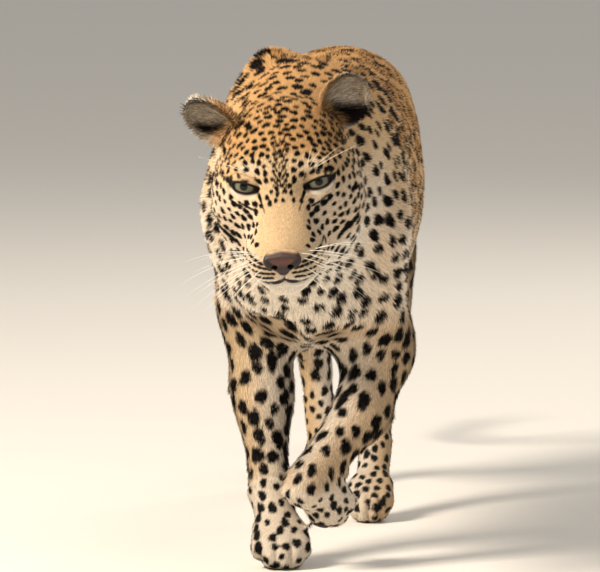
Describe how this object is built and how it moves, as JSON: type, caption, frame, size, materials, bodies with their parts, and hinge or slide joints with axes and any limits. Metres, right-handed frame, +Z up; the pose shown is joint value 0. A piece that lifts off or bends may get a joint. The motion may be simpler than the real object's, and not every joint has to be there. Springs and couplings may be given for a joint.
{
  "type": "leopard",
  "caption": "Life-size still model of a male leopard in a slow walk, head low, one forepaw planted and the other swinging past it.",
  "frame": {"origin": "on the floor, below the middle of the box round the whole animal", "axes": "+Z up; the animal faces -Y and its left side is +X"},
  "size_m": [0.2586, 1.7562, 0.6168],
  "materials": {
    "coat": "short fur, tawny above and cream below, with near-black spots and rosettes",
    "ear": "short fur, greyish tan inside and dark behind with a pale spot",
    "nose_leather": "smooth bare skin, pink-brown",
    "eye": "wet gloss, pale grey-green"
  },
  "bodies": {
    "root": {"head": "coat", "nose": "nose_leather", "eye_right": "eye", "eye_left": "eye", "ear_right": "ear", "ear_left": "ear", "neck": "coat", "chest": "coat", "belly": "coat", "hips": "coat", "foreleg_right": "coat", "foreleg_left": "coat", "forepaw_right": "coat", "forepaw_left": "coat", "thigh_right": "coat", "thigh_left": "coat", "shank_right": "coat", "shank_left": "coat", "hindpaw_right": "coat", "hindpaw_left": "coat", "tail_root": "coat", "tail_middle": "coat", "tail_tip": "coat"}
  },
  "joints": []
}
